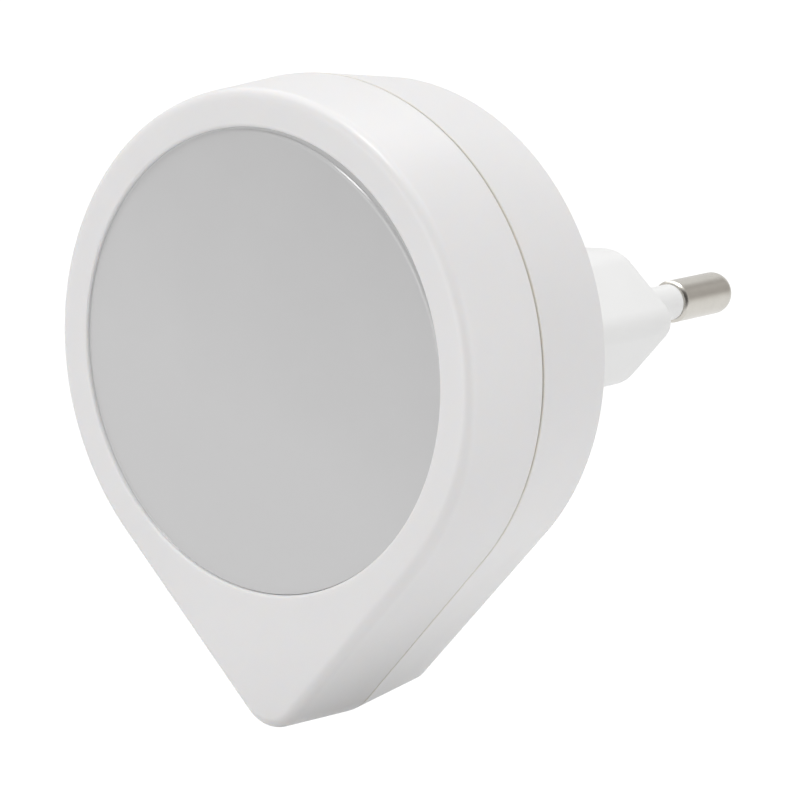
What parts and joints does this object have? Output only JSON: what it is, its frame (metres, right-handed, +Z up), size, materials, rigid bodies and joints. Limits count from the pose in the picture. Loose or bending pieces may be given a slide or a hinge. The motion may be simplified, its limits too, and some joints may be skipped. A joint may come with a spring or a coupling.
{
  "type": "plug-in night light",
  "caption": "Drop-shaped plug-in LED night light: two-shell white casing, round opal lens, light box, small mains driver and a flat two-pin plug on a hexagonal neck.",
  "frame": {"origin": "middle of the plug's flat face, between the two pins", "axes": "+Y along the pins into the wall, +Z up, +X to the right as seen from the front of the light"},
  "size_m": [0.0478, 0.057, 0.0561],
  "materials": {
    "casing_white": "satin white moulded plastic",
    "opal_lens": "smooth opal plastic, unlit grey",
    "reflector_white": "bright white",
    "board": "white solder mask",
    "led": "phosphor under clear resin",
    "capacitor_yellow": "smooth box",
    "component_black": "moulded",
    "resistor_tan": "lacquered",
    "screw_steel": "zinc plated",
    "plug_white": "glossy white moulded plastic",
    "pin_nickel": "nickel-plated brass, softly polished",
    "sleeve_white": "smooth white insulation",
    "lead_brown": "smooth insulation",
    "lead_blue": "smooth insulation"
  },
  "bodies": {
    "root": {"front_shell": "casing_white", "rear_shell": "casing_white", "diffuser": "opal_lens", "reflector": "reflector_white", "circuit_board": "board", "led_1": "led", "led_2": "led", "led_3": "led", "led_4": "led", "led_5": "led", "led_6": "led", "film_capacitor": "capacitor_yellow", "smoothing_capacitor": "component_black", "bridge_rectifier": "component_black", "zener_diode": "component_black", "fusible_resistor": "resistor_tan", "bleed_resistor": "resistor_tan", "board_screws": "screw_steel", "plug_body": "plug_white", "pin_clamp": "plug_white", "clamp_screw": "screw_steel", "left_pin": "pin_nickel", "right_pin": "pin_nickel", "left_sleeve": "sleeve_white", "right_sleeve": "sleeve_white", "live_lead": "lead_brown", "neutral_lead": "lead_blue"}
  },
  "joints": []
}
